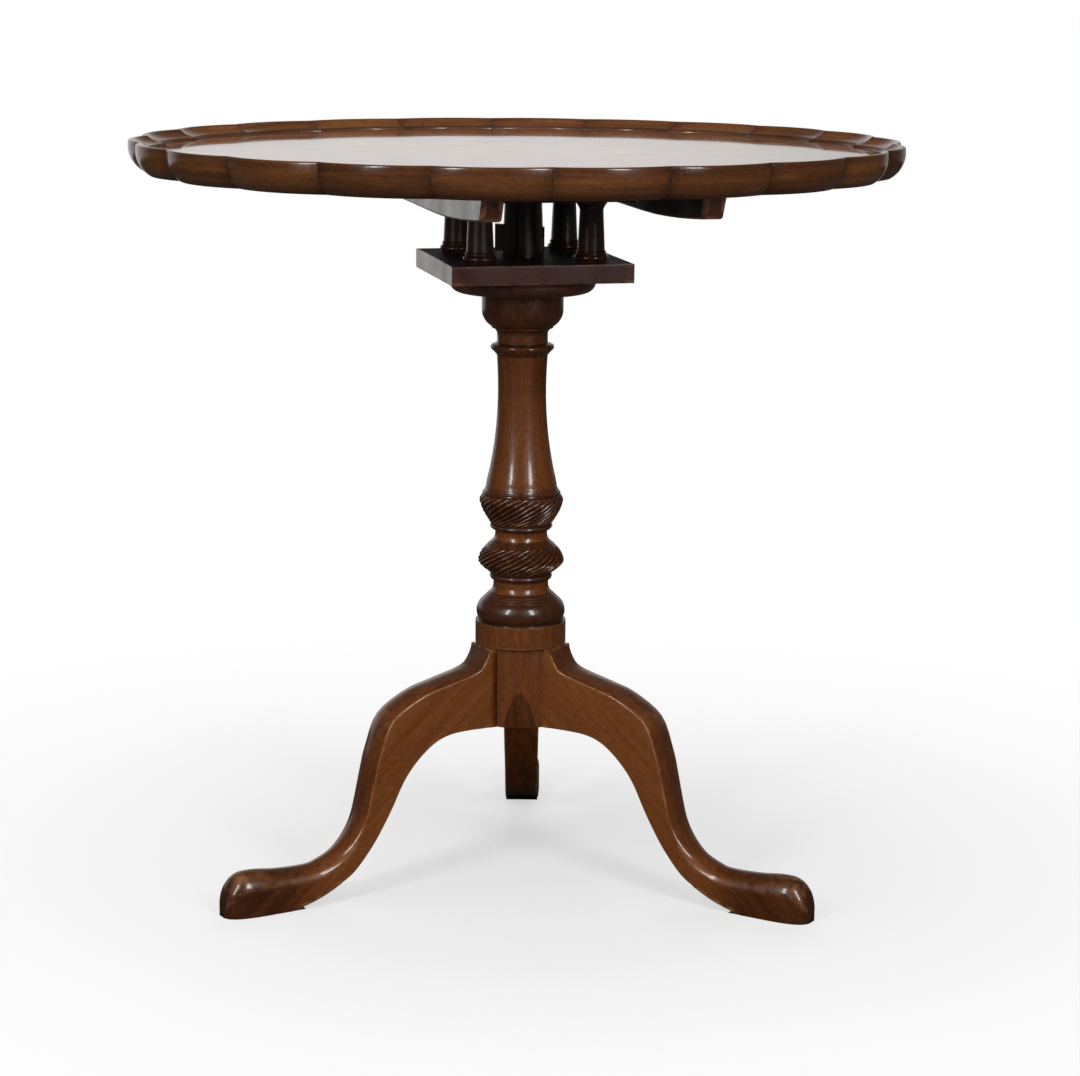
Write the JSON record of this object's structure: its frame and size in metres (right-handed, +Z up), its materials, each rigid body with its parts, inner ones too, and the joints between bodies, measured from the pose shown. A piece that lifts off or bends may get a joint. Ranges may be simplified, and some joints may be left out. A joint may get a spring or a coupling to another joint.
{
  "type": "tray top tea table",
  "caption": "Tilt-top tea table: a scalloped tray with a moulded rim on a turning cage, over a turned pillar with spiral-carved knops and cabriole legs.",
  "frame": {"origin": "on the floor, under the pillar's axis", "axes": "+Z up; X along the tilt pintles; -Y towards the edge of the tray that goes down when the top tilts"},
  "size_m": [0.731, 0.736, 0.7228],
  "materials": {
    "board_mahogany": "polished",
    "rim_mahogany": "polished",
    "cage_mahogany": "polished",
    "base_mahogany": "polished",
    "iron": "dull",
    "brass": "aged",
    "spring_steel": "satin"
  },
  "bodies": {
    "base": {"pillar": "base_mahogany", "bearing_disc": "cage_mahogany", "leg_rear": "base_mahogany", "leg_left": "base_mahogany", "leg_right": "base_mahogany", "cage_wedge": "cage_mahogany", "tripod_strap": "iron", "strap_screws": "iron"},
    "cage": {"cage_plate": "cage_mahogany", "cage_block": "cage_mahogany", "cage_column_01": "cage_mahogany", "cage_column_02": "cage_mahogany", "cage_column_03": "cage_mahogany", "cage_column_04": "cage_mahogany", "catch_keeper": "brass", "keeper_screws": "brass"},
    "top": {"tray_board": "board_mahogany", "rim_segment_01": "rim_mahogany", "rim_segment_02": "rim_mahogany", "rim_segment_03": "rim_mahogany", "rim_segment_04": "rim_mahogany", "rim_segment_05": "rim_mahogany", "rim_segment_06": "rim_mahogany", "rim_segment_07": "rim_mahogany", "rim_segment_08": "rim_mahogany", "rim_segment_09": "rim_mahogany", "rim_segment_10": "rim_mahogany", "rim_segment_11": "rim_mahogany", "rim_segment_12": "rim_mahogany", "rim_segment_13": "rim_mahogany", "rim_segment_14": "rim_mahogany", "rim_segment_15": "rim_mahogany", "rim_segment_16": "rim_mahogany", "rim_segment_17": "rim_mahogany", "rim_segment_18": "rim_mahogany", "rim_segment_19": "rim_mahogany", "rim_segment_20": "rim_mahogany", "rim_segment_21": "rim_mahogany", "rim_segment_22": "rim_mahogany", "bearer_left": "cage_mahogany", "bearer_right": "cage_mahogany", "bearer_screws": "iron", "catch_case": "brass", "catch_screws": "brass"},
    "bolt": {"catch_bolt": "brass", "catch_knob": "brass", "catch_spring": "spring_steel"}
  },
  "joints": [
    {"name": "swivel", "type": "hinge", "parent": "base", "child": "cage", "pos_m": [0, 0, 0.6027], "axis": [0, 0, 1], "continuous": true},
    {"name": "tilt", "type": "hinge", "parent": "cage", "child": "top", "pos_m": [0, -0.0758, 0.682], "axis": [1, 0, 0], "range_deg": [0, 90]},
    {"name": "catch", "type": "slide", "parent": "top", "child": "bolt", "axis": [0, 1, 0], "range_m": [0, 0.009], "stiffness_N_per_m": 300, "springref_m": -0.01, "deforming": ["catch_spring"]}
  ]
}
